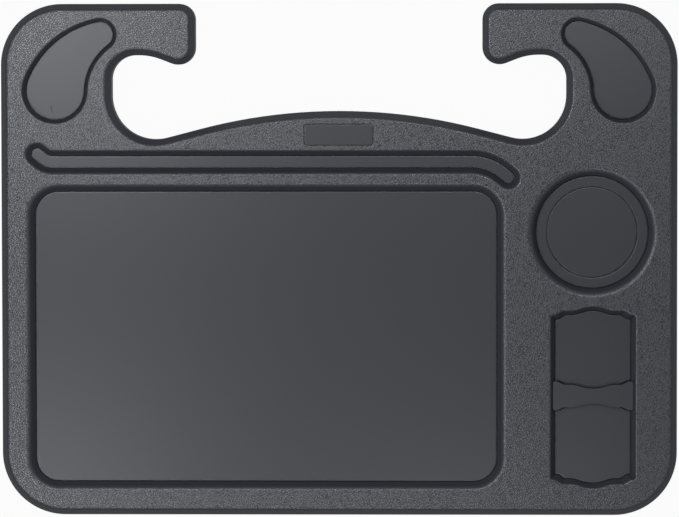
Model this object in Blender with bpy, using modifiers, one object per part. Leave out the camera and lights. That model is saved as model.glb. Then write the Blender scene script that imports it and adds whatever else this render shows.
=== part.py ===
"""Steering wheel tray: a moulded desk whose two hooks hang on the rim of a steering wheel.

The tray lies on its back. +Z comes out of its front face, +Y points at the hooks and +X at the side
with the cup well. The origin is under the middle of its bounding box. All lengths are in metres.

Two grained shells close on each other with a tongue and a rebate, and screws from the back hold them
together. The front one's edge slopes in to the face. Smooth inlays lie in the front shell's recesses.
"""
import math

import bmesh
import bpy
from mathutils import Vector

# Overall size and corners
TRAY_WIDTH = 0.425
TRAY_HEIGHT = 0.3219
TRAY_THICK = 0.022
TOP_CORNER_R = 0.0384
BOTTOM_CORNER_R = 0.0396
EDGE_DROP = 0.0053
EDGE_RUN = 0.005
EDGE_RIM = 0.0025
BACK_FILLET = 0.003

# Hooks and the throats that take the wheel's rim; the shares are of the tray's width or height
HOOK_GAP_SHARE = 0.425
HOOK_THICK_SHARE = 0.1003
THROAT_REACH_SHARE = 0.1241
THROAT_HEIGHT_SHARE = 0.1642
THROAT_TOP_R = 0.0151
THROAT_BOTTOM_R = 0.02755
UNDERSIDE_R = 0.0377
UNDERSIDE_SLOPE = math.radians(21)
TIP_DROP = 0.0108
TIP_TOP_R = 0.0101
TIP_BOTTOM_R = 0.0107
CROWN_R = 0.346
CROWN_SLOPE = math.radians(14.6)

# Shells
SHELL_WALL = 0.0028
PAN_WALL = 0.0024
SPLIT_HEIGHT = 0.010
TONGUE_DEPTH = 0.002
RIB_THICK = 0.0018
RIB_PITCH = 0.056
RIB_DROP = 0.0006

# Seats
CLEARANCE = 0.0003
OVERRUN = 0.002

# Inlays
INLAY_THICK = 0.0016
PANEL_THICK = 0.002
INLAY_EDGE = 0.0003

# Main recess
SIDE_BORDER = 0.0151
BOTTOM_BORDER = 0.01505
MAIN_CORNER_R = 0.0209
MAIN_DEPTH = 0.0068
MAIN_RUN = 0.0059
MAIN_RIM = 0.004

# Pen groove
GROOVE_WIDTH = 0.0170
GROOVE_DEPTH = 0.0056
GROOVE_RUN = 0.0046
GROOVE_RIM = 0.0024
GROOVE_TO_THROAT = 0.00565
GROOVE_TO_MAIN = 0.0041
GROOVE_LEFT_INSET = 0.0075
GROOVE_LEFT_RISE = 0.0049
GROOVE_LEFT_R = 0.0115
GROOVE_RIGHT_OVERHANG = 0.0012
GROOVE_RIGHT_DROP = 0.0099
GROOVE_RIGHT_R = 0.032
GROOVE_CURL = math.radians(39)

# Cup well
CUP_OPENING = 0.0826
CUP_SIDE_LAND = 0.0121
CUP_MAIN_LAND = 0.0124
CUP_POCKET_LAND = 0.0043
CUP_RUN = 0.0059
CUP_RIM = 0.0048
CUP_RING_DEPTH = 0.0074
CUP_DISC_DEPTH = 0.0086
CUP_DISC_WIDTH = 0.0564
CUP_LINE = 0.0007

# Pocket bay, its two pockets and the bridge between them
POCKET_WIDTH = 0.0553
POCKET_SIDE_BORDER = 0.0251
POCKET_BOTTOM_BORDER = 0.01625
UPPER_POCKET_SHARE = 0.1631
LOWER_POCKET_SHARE = 0.1687
POCKET_DEPTH = 0.0065
POCKET_RUN = 0.0037
POCKET_RIM = 0.0015
BRIDGE_WAIST = 0.0096
BRIDGE_DEPTH = 0.0028
BRIDGE_BUMP_RISE = 0.0022
BRIDGE_STEP_RISE = 0.0021
BUMP_RISE = 0.0027
BUMP_SLOPE = math.radians(20)
BUMP_FOOT_R = 0.015
STEP_RISE = 0.0027
STEP_R = 0.0012
STEP_OUTER_SHARE = 0.90
STEP_INNER_SHARE = 0.73
BUMP_FOOT_SHARE = 0.41

# Hook recesses; the shares are of the hook's width beside the throat
WELL_SIDE_LAND_SHARE = 0.1845
WELL_THROAT_LAND_SHARE = 0.2024
WELL_RISE = 0.0094
WELL_TIP_R = 0.0112
WELL_TIP_LAND = 0.0082
WELL_TIP_REACH = 0.00685
WELL_BACK_R = 0.0635
WELL_WAIST_R = 0.0340
WELL_DEPTH = 0.0055
WELL_RUN = 0.0028
WELL_RIM = 0.0012

# Badge plate, left bare
BADGE_WIDTH = 0.0440
BADGE_HEIGHT = 0.0140
BADGE_R = 0.0025
BADGE_THICK = 0.0012
BADGE_LINE = 0.0006
BADGE_RISE = 0.0029

# Screws and their bosses
SCREW_R = 0.0015
SCREW_HEAD_R = 0.0028
SCREW_HEAD_HEIGHT = 0.0018
SCREW_HEAD_EDGE = 0.0006
SCREW_BITE = 0.0090
SCREW_TIP = 0.0015
HEAD_SINK = 0.0005
BOSS_WALL = 0.0015
TIP_SCREW_INSET = 0.014
CROWN_SCREW_SPREAD = 0.045
CROWN_SCREW_RISE = 0.0109
BOTTOM_SCREW_SHARE = 0.30
SIDE_SCREW_SHARE = 0.25

# Facets
CHORD_ERROR = 0.00017
RIM_STEPS = 2
CUP_STEPS = 40
BOSS_STEPS = 12
SCREW_STEPS = 10
CORNER_KEEP_SHARE = 0.1
MERGE_DISTANCE = 0.00001

# Heights that follow
FACE_Z = TRAY_THICK
SIDE_X = TRAY_WIDTH / 2
TOP_Y = TRAY_HEIGHT / 2
DEEPEST_SEAT = CLEARANCE + max(
    MAIN_DEPTH + PANEL_THICK,
    GROOVE_DEPTH + INLAY_THICK,
    CUP_DISC_DEPTH + INLAY_THICK,
    POCKET_DEPTH + INLAY_THICK,
    WELL_DEPTH + INLAY_THICK,
)
BOSS_Z = FACE_Z - DEEPEST_SEAT - PAN_WALL - CLEARANCE
HOLE_R = SCREW_R + CLEARANCE
COUNTERBORE_R = SCREW_HEAD_R + CLEARANCE
COUNTERBORE_Z = HEAD_SINK + SCREW_HEAD_HEIGHT + CLEARANCE
BOSS_R = COUNTERBORE_R + BOSS_WALL
SCREW_TOP_Z = min(BOSS_Z + SCREW_BITE, FACE_Z - SHELL_WALL - CLEARANCE)

# Places across the face that follow
TIP_X = TRAY_WIDTH * HOOK_GAP_SHARE / 2
THROAT_X = TIP_X + TRAY_WIDTH * THROAT_REACH_SHARE
HOOK_THICK = TRAY_HEIGHT * HOOK_THICK_SHARE
HOOK_ROOT = SIDE_X - THROAT_X
THROAT_TOP_Y = TOP_Y - HOOK_THICK
THROAT_LOW_Y = THROAT_TOP_Y - TRAY_HEIGHT * THROAT_HEIGHT_SHARE
GROOVE_Y = THROAT_LOW_Y - GROOVE_TO_THROAT - GROOVE_WIDTH / 2
CUP_R = CUP_OPENING / 2
CUP_X = SIDE_X - CUP_SIDE_LAND - CUP_R
MAIN_LEFT = SIDE_BORDER - SIDE_X
MAIN_RIGHT = CUP_X - CUP_R - CUP_MAIN_LAND
MAIN_TOP = GROOVE_Y - GROOVE_WIDTH / 2 - GROOVE_TO_MAIN
MAIN_BOTTOM = BOTTOM_BORDER - TOP_Y
MAIN_X = (MAIN_LEFT + MAIN_RIGHT) / 2
MAIN_Y = (MAIN_TOP + MAIN_BOTTOM) / 2
POCKET_X = SIDE_X - POCKET_SIDE_BORDER - POCKET_WIDTH / 2
POCKET_BOTTOM = POCKET_BOTTOM_BORDER - TOP_Y
LOWER_POCKET_TOP = POCKET_BOTTOM + TRAY_HEIGHT * LOWER_POCKET_SHARE
UPPER_POCKET_BOTTOM = LOWER_POCKET_TOP + BRIDGE_WAIST
BAY_TOP = UPPER_POCKET_BOTTOM + TRAY_HEIGHT * UPPER_POCKET_SHARE
CUP_Y = BAY_TOP + CUP_POCKET_LAND + CUP_R
BADGE_Y = THROAT_LOW_Y + BADGE_RISE

# Finishes: colour, roughness
GRAINED_BLACK = ((0.075, 0.077, 0.083), 0.62)
SMOOTH_BLACK = ((0.062, 0.064, 0.069), 0.42)
BADGE_BLACK = ((0.068, 0.069, 0.075), 0.38)
SCREW_BLACK = ((0.030, 0.030, 0.032), 0.45)


def new_collection(name):
    """An empty collection under the scene."""
    collection = bpy.data.collections.new(name)
    bpy.context.scene.collection.children.link(collection)
    return collection


def finish(name, look, metallic=0.0):
    """A Principled material of its own for one piece."""
    colour, roughness = look
    material = bpy.data.materials.new(name)
    material.use_nodes = True
    shader = material.node_tree.nodes["Principled BSDF"]
    shader.inputs["Base Color"].default_value = (*colour, 1.0)
    shader.inputs["Roughness"].default_value = roughness
    shader.inputs["Metallic"].default_value = metallic
    return material


def arc(centre, radius, start, turn, steps):
    """Points on a circle, both ends included; a positive turn runs counter-clockwise."""
    points = []
    for step in range(steps + 1):
        angle = start + turn * step / steps
        points.append((centre[0] + radius * math.cos(angle), centre[1] + radius * math.sin(angle)))
    return points


def arc_steps(radius, turn):
    """How many chords keep an arc within the chord error."""
    widest = 2 * math.acos(max(0.0, 1 - CHORD_ERROR / radius))
    return max(2, math.ceil(abs(turn) / widest))


def cross(first, second):
    """Positive where second lies counter-clockwise of first."""
    return first[0] * second[1] - first[1] * second[0]


def inset_corners(corners, inset):
    """Sharp corners (x, y, radius) of a counter-clockwise outline, moved in by a distance."""
    moved = []
    count = len(corners)
    for index, (x, y, radius) in enumerate(corners):
        here = Vector((x, y))
        arrive = (here - Vector(corners[index - 1][:2])).normalized()
        leave = (Vector(corners[(index + 1) % count][:2]) - here).normalized()
        normals = Vector((-arrive.y, arrive.x)) + Vector((-leave.y, leave.x))
        here += normals * inset / (1 + arrive.dot(leave))
        outward = cross(arrive, leave) > 0
        fitted = radius - inset if outward else radius + inset
        moved.append((here.x, here.y, max(fitted, radius * CORNER_KEEP_SHARE)))
    return moved


def corner_turns(corners, closed):
    """Signed turn at each corner; an open path doesn't turn at its ends."""
    turns = []
    last = len(corners) - 1
    for index, (x, y, _) in enumerate(corners):
        if not closed and index in (0, last):
            turns.append(0.0)
            continue
        after = corners[(index + 1) % len(corners)]
        arrive = Vector((x, y)) - Vector(corners[index - 1][:2])
        leave = Vector(after[:2]) - Vector((x, y))
        turns.append(math.atan2(cross(arrive, leave), arrive.dot(leave)))
    return turns


def corner_reaches(corners, turns):
    """How far each corner's rounding reaches along its two sides, limited by the sides' lengths."""
    reaches = [radius * math.tan(abs(turn) / 2) for (_, _, radius), turn in zip(corners, turns)]
    limits = [1.0] * len(corners)
    for index in range(len(corners)):
        after = (index + 1) % len(corners)
        side = (Vector(corners[after][:2]) - Vector(corners[index][:2])).length
        both = reaches[index] + reaches[after]
        if both > side:
            limits[index] = min(limits[index], side / both)
            limits[after] = min(limits[after], side / both)
    return [reach * limit for reach, limit in zip(reaches, limits)]


def rounded(corners, inset=0.0, closed=True):
    """Outline through corners (x, y, radius), each rounded by a tangent arc, moved in by inset."""
    turns = corner_turns(corners, closed)
    placed = inset_corners(corners, inset) if inset else corners
    reaches = corner_reaches(placed, turns)
    points = []
    for index, (x, y, _) in enumerate(placed):
        turn = turns[index]
        reach = reaches[index]
        if not turn or not reach:
            points.append((x, y))
            continue
        arrive = (Vector((x, y)) - Vector(placed[index - 1][:2])).normalized()
        normal = Vector((-arrive.y, arrive.x)) * math.copysign(1.0, turn)
        radius = reach / math.tan(abs(turn) / 2)
        centre = Vector((x, y)) - arrive * reach + normal * radius
        start = math.atan2(-normal.y, -normal.x)
        points += arc(centre, radius, start, turn, arc_steps(corners[index][2], turn))
    return points


def mirrored(points):
    """The same outline on the other side of the tray, still counter-clockwise."""
    return [(-x, y) for x, y in reversed(points)]


def tray_outline(inset=0.0):
    """The tray's edge with both hooks."""
    throat_centre_x = THROAT_X - THROAT_BOTTOM_R
    throat_centre_y = THROAT_LOW_Y + THROAT_BOTTOM_R
    slope_x = throat_centre_x - THROAT_BOTTOM_R * math.sin(CROWN_SLOPE)
    slope_y = throat_centre_y - THROAT_BOTTOM_R * math.cos(CROWN_SLOPE)
    apex_y = slope_y + slope_x * math.tan(CROWN_SLOPE)
    bend_x = TIP_X + TIP_DROP / math.tan(UNDERSIDE_SLOPE)
    right = [
        (SIDE_X, -TOP_Y, BOTTOM_CORNER_R),
        (SIDE_X, TOP_Y, TOP_CORNER_R),
        (TIP_X, TOP_Y, TIP_TOP_R),
        (TIP_X, THROAT_TOP_Y - TIP_DROP, TIP_BOTTOM_R),
        (bend_x, THROAT_TOP_Y, UNDERSIDE_R),
        (THROAT_X, THROAT_TOP_Y, THROAT_TOP_R),
        (THROAT_X, apex_y - THROAT_X * math.tan(CROWN_SLOPE), THROAT_BOTTOM_R),
    ]
    left = [(-x, y, radius) for x, y, radius in reversed(right)]
    return rounded(right + [(0.0, apex_y, CROWN_R)] + left, inset)


def box_outline(left, right, bottom, top, radius, inset=0.0):
    """A rectangle with round corners."""
    corners = [(right, bottom, radius), (right, top, radius), (left, top, radius), (left, bottom, radius)]
    return rounded(corners, inset)


def main_outline(inset=0.0):
    """The main recess at the face."""
    return box_outline(MAIN_LEFT, MAIN_RIGHT, MAIN_BOTTOM, MAIN_TOP, MAIN_CORNER_R, inset)


def badge_outline(inset=0.0):
    """The badge plate's shallow recess."""
    half = BADGE_WIDTH / 2
    low = BADGE_Y - BADGE_HEIGHT / 2
    return box_outline(-half, half, low, low + BADGE_HEIGHT, BADGE_R, inset)


def groove_outline(inset=0.0):
    """A stroke along the groove's centreline: up at its left end, down at its right end."""
    left_x = MAIN_LEFT + GROOVE_LEFT_INSET
    right_x = MAIN_RIGHT + GROOVE_RIGHT_OVERHANG
    path = rounded([
        (right_x, GROOVE_Y - GROOVE_RIGHT_DROP, 0.0),
        (right_x - GROOVE_RIGHT_DROP / math.tan(GROOVE_CURL), GROOVE_Y, GROOVE_RIGHT_R),
        (left_x + GROOVE_LEFT_RISE / math.tan(GROOVE_CURL), GROOVE_Y, GROOVE_LEFT_R),
        (left_x, GROOVE_Y + GROOVE_LEFT_RISE, 0.0),
    ], closed=False)
    half = GROOVE_WIDTH / 2 - inset
    cap_steps = arc_steps(GROOVE_WIDTH / 2, math.pi)
    sides = [(Vector(after) - Vector(before)).normalized() for before, after in zip(path, path[1:])]
    normals = []
    for arrive, leave in zip(sides[:1] + sides, sides + sides[-1:]):
        both = Vector((arrive.y, -arrive.x)) + Vector((leave.y, -leave.x))
        normals.append(both / (1 + arrive.dot(leave)))
    near = [tuple(Vector(point) + normal * half) for point, normal in zip(path, normals)]
    far = [tuple(Vector(point) - normal * half) for point, normal in zip(path, normals)]
    first = math.atan2(-normals[0].y, -normals[0].x)
    last = math.atan2(normals[-1].y, normals[-1].x)
    right_cap = arc(path[0], half, first, math.pi, cap_steps)
    left_cap = arc(path[-1], half, last, math.pi, cap_steps)
    outline = near[1:-1] + left_cap + far[-2:0:-1] + right_cap
    return outline if signed_area(outline) > 0 else outline[::-1]


def signed_area(points):
    """Twice the area inside an outline, positive when it runs counter-clockwise."""
    return sum(cross(points[index - 1], point) for index, point in enumerate(points))


def wavy_end(half_width, peak, up, bump_rise=BUMP_RISE, step_rise=STEP_RISE):
    """Corners of a pocket's wavy end, from +X to -X: a step at each side and a bump between."""
    foot = BUMP_FOOT_SHARE * POCKET_WIDTH / 2
    rise = foot * math.tan(BUMP_SLOPE)
    crown_r = (rise - bump_rise) / (1 / math.cos(BUMP_SLOPE) - 1)
    shoulder = peak - up * bump_rise
    corner = shoulder - up * step_rise
    right = [
        (half_width, corner, STEP_R),
        (STEP_OUTER_SHARE * half_width, corner, STEP_R),
        (STEP_INNER_SHARE * half_width, shoulder, STEP_R),
        (foot, shoulder, BUMP_FOOT_R),
    ]
    left = [(-x, y, radius) for x, y, radius in reversed(right)]
    crest = (0.0, shoulder + up * rise, crown_r)
    return [(POCKET_X + x, y, radius) for x, y, radius in right + [crest] + left]


def bridge_side(half_width, peak, up):
    """A wavy end where a pocket meets the bridge, with a lower bump and step."""
    return wavy_end(half_width, peak, up, BRIDGE_BUMP_RISE, BRIDGE_STEP_RISE)


def bay_outline(inset=0.0):
    """The bay that holds both pockets and the bridge."""
    half = POCKET_WIDTH / 2 - inset
    return rounded(wavy_end(half, BAY_TOP - inset, 1) + wavy_end(half, POCKET_BOTTOM + inset, -1)[::-1])


def upper_pocket_outline(inset=0.0):
    """The upper pocket's floor, which meets the bridge at its lower end."""
    half = POCKET_WIDTH / 2 - inset
    seam = bridge_side(half, UPPER_POCKET_BOTTOM + CLEARANCE, -1)
    return rounded(wavy_end(half, BAY_TOP - inset, 1) + seam[::-1])


def lower_pocket_outline(inset=0.0):
    """The lower pocket's floor, which meets the bridge at its upper end."""
    half = POCKET_WIDTH / 2 - inset
    seam = bridge_side(half, LOWER_POCKET_TOP - CLEARANCE, 1)
    return rounded(seam + wavy_end(half, POCKET_BOTTOM + inset, -1)[::-1])


def bridge_outline(inset=0.0):
    """The bridge: its long sides follow the pockets' wavy ends."""
    half = POCKET_WIDTH / 2 - inset
    lower = bridge_side(half, LOWER_POCKET_TOP, 1)
    return rounded(bridge_side(half, UPPER_POCKET_BOTTOM, -1) + lower[::-1])


def circle_meeting(first, first_r, second, second_r):
    """Where two circles meet on the right hand of the line from the first centre to the second."""
    between = Vector(second) - Vector(first)
    gap = between.length
    along = (first_r ** 2 - second_r ** 2 + gap ** 2) / (2 * gap)
    across = math.sqrt(max(0.0, first_r ** 2 - along ** 2))
    unit = between / gap
    return Vector(first) + unit * along + Vector((unit.y, -unit.x)) * across


def heading(origin, target):
    """Angle of the way from one point to another."""
    return math.atan2(target[1] - origin[1], target[0] - origin[0])


def well_outline(inset=0.0):
    """The left hook's recess: a large and a small lobe joined by a long back and a hollow waist."""
    side_land = HOOK_ROOT * WELL_SIDE_LAND_SHARE
    lobe_r = (HOOK_ROOT - side_land - HOOK_ROOT * WELL_THROAT_LAND_SHARE) / 2
    lobe = (side_land + lobe_r - SIDE_X, THROAT_LOW_Y + WELL_RISE + lobe_r)
    tip = (-THROAT_X - WELL_TIP_REACH, TOP_Y - WELL_TIP_LAND - WELL_TIP_R)
    back = circle_meeting(lobe, WELL_BACK_R - lobe_r, tip, WELL_BACK_R - WELL_TIP_R)
    waist = circle_meeting(lobe, WELL_WAIST_R + lobe_r, tip, WELL_WAIST_R + WELL_TIP_R)
    outline = []
    for centre, radius, start, end, nominal in (
        (lobe, lobe_r - inset, heading(back, lobe), heading(lobe, waist), lobe_r),
        (waist, WELL_WAIST_R + inset, heading(waist, lobe), heading(waist, tip), WELL_WAIST_R),
        (tip, WELL_TIP_R - inset, heading(tip, waist), heading(back, tip), WELL_TIP_R),
        (back, WELL_BACK_R - inset, heading(back, tip), heading(back, lobe), WELL_BACK_R),
    ):
        turn = (end - start) % math.tau
        if centre is waist:
            turn -= math.tau
        outline += arc(centre, radius, start, turn, arc_steps(nominal, turn))[:-1]
    return outline


def right_well_outline(inset=0.0):
    """The right hook's recess."""
    return mirrored(well_outline(inset))


def stack(name, outline, levels, home):
    """A closed solid through outlines of equal point count, given as (inset, height), going up."""
    shape = bmesh.new()
    layers = []
    for inset, height in levels:
        layers.append([shape.verts.new((x, y, height)) for x, y in outline(inset)])
    for lower, upper in zip(layers, layers[1:]):
        for index in range(len(lower)):
            shape.faces.new((lower[index - 1], lower[index], upper[index], upper[index - 1]))
    shape.faces.new(reversed(layers[0]))
    shape.faces.new(layers[-1])
    return add_object(name, shape, home)


def add_object(name, shape, home):
    """Puts a finished bmesh in the scene under a name."""
    mesh = bpy.data.meshes.new(name)
    shape.to_mesh(mesh)
    shape.free()
    thing = bpy.data.objects.new(name, mesh)
    home.objects.link(thing)
    return thing


def cylinder(name, place, radius, low, high, home, steps=BOSS_STEPS):
    """An upright round solid."""
    shape = bmesh.new()
    bmesh.ops.create_cone(
        shape, cap_ends=True, segments=steps, radius1=radius, radius2=radius, depth=high - low,
    )
    thing = add_object(name, shape, home)
    thing.location = (place[0], place[1], (low + high) / 2)
    return thing


def turned(name, profile, place, steps, home, closed=False):
    """A solid of revolution; the profile (radius, height) runs down its outer side."""
    shape = bmesh.new()
    points = [shape.verts.new((radius, 0.0, height)) for radius, height in profile]
    for first, second in zip(points, points[1:]):
        shape.edges.new((first, second))
    if closed:
        shape.edges.new((points[-1], points[0]))
    thing = add_object(name, shape, home)
    thing.location = (place[0], place[1], 0.0)
    screw = thing.modifiers.new("turn", "SCREW")
    screw.steps = steps
    screw.render_steps = steps
    screw.use_merge_vertices = True
    screw.merge_threshold = MERGE_DISTANCE
    return thing


def combine(target, tool, operation="DIFFERENCE"):
    """A Boolean that stays on the target; the tool is drawn as wire and not rendered."""
    boolean = target.modifiers.new(tool.name, "BOOLEAN")
    boolean.object = tool
    boolean.operation = operation
    boolean.solver = "EXACT"
    tool.hide_render = True
    tool.display_type = "WIRE"


def wall_profile(depth, run, rim, steps=RIM_STEPS):
    """(across, down) pairs from a flat face over a round rim and down a straight slope to the foot."""
    slope = math.asin(rim / math.hypot(run, depth - rim)) + math.atan2(depth - rim, run)
    pairs = []
    for step in range(steps + 1):
        angle = slope * step / steps
        pairs.append((rim * math.sin(angle), rim * (1 - math.cos(angle))))
    return pairs + [(run, depth)]


def recess_levels(depth, run, rim, seat):
    """(inset, height) pairs of a recess from its seat up: upright seat, sloping wall, round rim."""
    levels = [(run, FACE_Z - depth - seat)]
    for across, down in reversed(wall_profile(depth, run, rim)):
        levels.append((across, FACE_Z - down))
    levels.append((0.0, FACE_Z + OVERRUN))
    return levels


def pan_levels(depth, run, seat):
    """(inset, height) pairs of the outside of the pan that hangs under a recess."""
    foot_z = FACE_Z - depth - seat - PAN_WALL
    return [(run - PAN_WALL, foot_z), (-PAN_WALL / 2, FACE_Z - SHELL_WALL / 2)]


def screw_places():
    """Where the screws stand: hook tips, crown, both sides, bottom edge and beside the pockets."""
    tip = (TIP_X + TIP_SCREW_INSET, TOP_Y - HOOK_THICK / 2)
    crown = (CROWN_SCREW_SPREAD, GROOVE_Y + GROOVE_WIDTH / 2 + CROWN_SCREW_RISE)
    side_x = SIDE_X - SIDE_BORDER / 2
    side_reach = (MAIN_TOP - MAIN_BOTTOM) * SIDE_SCREW_SHARE
    bottom_y = MAIN_BOTTOM - BOTTOM_BORDER / 2
    bottom_reach = (MAIN_RIGHT - MAIN_LEFT) * BOTTOM_SCREW_SHARE
    column_x = (MAIN_RIGHT + POCKET_X - POCKET_WIDTH / 2) / 2
    column_y = (POCKET_BOTTOM + BAY_TOP) / 2
    column_reach = (BAY_TOP - POCKET_BOTTOM) * SIDE_SCREW_SHARE
    places = [tip, (-tip[0], tip[1]), crown, (-crown[0], crown[1])]
    for way in (1, -1):
        places.append((side_x, MAIN_Y + way * side_reach))
        places.append((-side_x, MAIN_Y + way * side_reach))
        places.append((MAIN_X + way * bottom_reach, bottom_y))
        places.append((column_x, column_y + way * column_reach))
    return places


def recess_table():
    """Each flat recess: name, outline at the face, depth, wall's run, rim radius and seat depth."""
    inlay_seat = INLAY_THICK + CLEARANCE
    return [
        ("main", main_outline, MAIN_DEPTH, MAIN_RUN, MAIN_RIM, PANEL_THICK + CLEARANCE),
        ("groove", groove_outline, GROOVE_DEPTH, GROOVE_RUN, GROOVE_RIM, inlay_seat),
        ("bay", bay_outline, POCKET_DEPTH, POCKET_RUN, POCKET_RIM, inlay_seat),
        ("left_well", well_outline, WELL_DEPTH, WELL_RUN, WELL_RIM, inlay_seat),
        ("right_well", right_well_outline, WELL_DEPTH, WELL_RUN, WELL_RIM, inlay_seat),
    ]


def cup_cutter(cutters):
    """The cup well: a round rim, a drafted wall, a seat for the ring and a bore for the disc."""
    floor_r = CUP_R - CUP_RUN
    bore_r = CUP_DISC_WIDTH / 2 + CLEARANCE
    levels = recess_levels(CUP_RING_DEPTH, CUP_RUN, CUP_RIM, INLAY_THICK + CLEARANCE)
    bore_z = FACE_Z - CUP_DISC_DEPTH - INLAY_THICK - CLEARANCE
    profile = [(0.0, levels[-1][1])]
    profile += [(CUP_R - inset, height) for inset, height in reversed(levels)]
    profile += [(bore_r, levels[0][1]), (bore_r, bore_z), (0.0, bore_z)]
    well = turned("cup_cut", profile, (CUP_X, CUP_Y), CUP_STEPS, cutters)
    pan_z = bore_z - PAN_WALL
    pan_profile = [
        (0.0, FACE_Z - SHELL_WALL / 2),
        (CUP_R + PAN_WALL, FACE_Z - SHELL_WALL / 2),
        (floor_r + PAN_WALL, pan_z),
        (0.0, pan_z),
    ]
    pan = turned("cup_pan", pan_profile, (CUP_X, CUP_Y), CUP_STEPS, cutters)
    return well, pan


def front_shell(tray, cutters):
    """The grained front: skirt with a tongue, sloping edge, pans under its recesses, and bosses."""
    tongue_in = (SHELL_WALL + CLEARANCE) / 2
    tongue_z = SPLIT_HEIGHT - TONGUE_DEPTH
    foot_z = SPLIT_HEIGHT + CLEARANCE
    edge = wall_profile(EDGE_DROP, EDGE_RUN, EDGE_RIM)
    levels = [(tongue_in, tongue_z), (tongue_in, foot_z), (0.0, foot_z)]
    levels += [(EDGE_RUN - across, FACE_Z - down) for across, down in reversed(edge)]
    shell = stack("front_shell", tray_outline, levels, tray)
    hollow = stack("front_hollow", tray_outline, [
        (SHELL_WALL, min(tongue_z, BOSS_Z) - OVERRUN),
        (SHELL_WALL, FACE_Z - EDGE_DROP),
        (EDGE_RUN + CLEARANCE, FACE_Z - SHELL_WALL),
    ], cutters)
    cup_well, cup_pan = cup_cutter(cutters)
    combine(hollow, cup_pan)
    combine(shell, hollow)
    combine(shell, cup_well)
    for name, outline, depth, run, rim, seat in recess_table():
        combine(hollow, stack(name + "_pan", outline, pan_levels(depth, run, seat), cutters))
        combine(shell, stack(name + "_cut", outline, recess_levels(depth, run, rim, seat), cutters))
    badge_levels = [(0.0, FACE_Z - BADGE_THICK - CLEARANCE), (0.0, FACE_Z + OVERRUN)]
    combine(shell, stack("badge_cut", badge_outline, badge_levels, cutters))
    boss_low = BOSS_Z + CLEARANCE
    for index, place in enumerate(screw_places(), start=1):
        boss = cylinder(f"front_boss_{index:02d}", place, BOSS_R, boss_low, FACE_Z, cutters)
        combine(hollow, boss)
        pilot = cylinder(f"front_pilot_{index:02d}", place, HOLE_R, boss_low - OVERRUN,
                         SCREW_TOP_Z + CLEARANCE, cutters, SCREW_STEPS)
        combine(shell, pilot)
    shell.data.materials.append(finish("front_shell", GRAINED_BLACK))


def rib_lines(reach, pitch):
    """Evenly spaced places across a width, centred, none nearer its ends than half a pitch."""
    count = max(1, round(2 * reach / pitch) - 1)
    return [(index - (count - 1) / 2) * pitch for index in range(count)]


def rib(name, place, size, high, cutters):
    """One straight rib that stands on the back shell's floor."""
    low = SHELL_WALL / 2
    shape = bmesh.new()
    bmesh.ops.create_cube(shape, size=1.0)
    bmesh.ops.scale(shape, vec=(*size, high - low), verts=shape.verts)
    bar = add_object(name, shape, cutters)
    bar.location = (*place, (low + high) / 2)
    return bar


def back_shell(tray, cutters):
    """The grained back: flat face, round edge, rebate for the tongue, ribs and screw bosses."""
    levels = []
    for step in range(RIM_STEPS + 1):
        angle = math.pi / 2 * step / RIM_STEPS
        levels.append((BACK_FILLET * (1 - math.sin(angle)), BACK_FILLET * (1 - math.cos(angle))))
    shell = stack("back_shell", tray_outline, levels + [(0.0, SPLIT_HEIGHT)], tray)
    rebate_in = (SHELL_WALL - CLEARANCE) / 2
    rebate_z = SPLIT_HEIGHT - TONGUE_DEPTH - CLEARANCE
    hollow = stack("back_hollow", tray_outline, [
        (SHELL_WALL, SHELL_WALL),
        (SHELL_WALL, rebate_z),
        (rebate_in, rebate_z),
        (rebate_in, SPLIT_HEIGHT + OVERRUN),
    ], cutters)
    rib_z = min(BOSS_Z, rebate_z) - RIB_DROP
    for index, x in enumerate(rib_lines(SIDE_X, RIB_PITCH), start=1):
        size = (RIB_THICK, TRAY_HEIGHT)
        combine(hollow, rib(f"upright_rib_{index:02d}", (x, 0.0), size, rib_z, cutters))
    for index, y in enumerate(rib_lines(TOP_Y, RIB_PITCH), start=1):
        size = (TRAY_WIDTH, RIB_THICK)
        combine(hollow, rib(f"cross_rib_{index:02d}", (0.0, y), size, rib_z - RIB_DROP, cutters))
    combine(shell, hollow)
    hole_profile = [
        (0.0, BOSS_Z + OVERRUN),
        (HOLE_R, BOSS_Z + OVERRUN),
        (HOLE_R, COUNTERBORE_Z),
        (COUNTERBORE_R, COUNTERBORE_Z),
        (COUNTERBORE_R, -OVERRUN),
        (0.0, -OVERRUN),
    ]
    for index, place in enumerate(screw_places(), start=1):
        boss = cylinder(f"back_boss_{index:02d}", place, BOSS_R, SHELL_WALL / 2, BOSS_Z, cutters)
        combine(hollow, boss)
        combine(shell, turned(f"back_hole_{index:02d}", hole_profile, place, BOSS_STEPS, cutters))
    shell.data.materials.append(finish("back_shell", GRAINED_BLACK))


def inlay(name, outline, inset, top, thick, look, tray):
    """A flat plate with a softened front edge, lying in a recess."""
    plate = stack(name, outline, [
        (inset, top - thick),
        (inset, top - INLAY_EDGE),
        (inset + INLAY_EDGE, top),
    ], tray)
    plate.data.materials.append(finish(name, look))


def flat_inlays(tray):
    """The smooth plates on the recess floors, and the bare badge plate."""
    inlay("main_panel", main_outline, MAIN_RUN + CLEARANCE, FACE_Z - MAIN_DEPTH, PANEL_THICK,
          SMOOTH_BLACK, tray)
    inlay("pen_groove_liner", groove_outline, GROOVE_RUN + CLEARANCE, FACE_Z - GROOVE_DEPTH,
          INLAY_THICK, SMOOTH_BLACK, tray)
    inlay("left_hook_inlay", well_outline, WELL_RUN + CLEARANCE, FACE_Z - WELL_DEPTH, INLAY_THICK,
          SMOOTH_BLACK, tray)
    inlay("right_hook_inlay", right_well_outline, WELL_RUN + CLEARANCE, FACE_Z - WELL_DEPTH,
          INLAY_THICK, SMOOTH_BLACK, tray)
    inlay("badge_plate", badge_outline, BADGE_LINE, FACE_Z, BADGE_THICK, BADGE_BLACK, tray)


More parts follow.
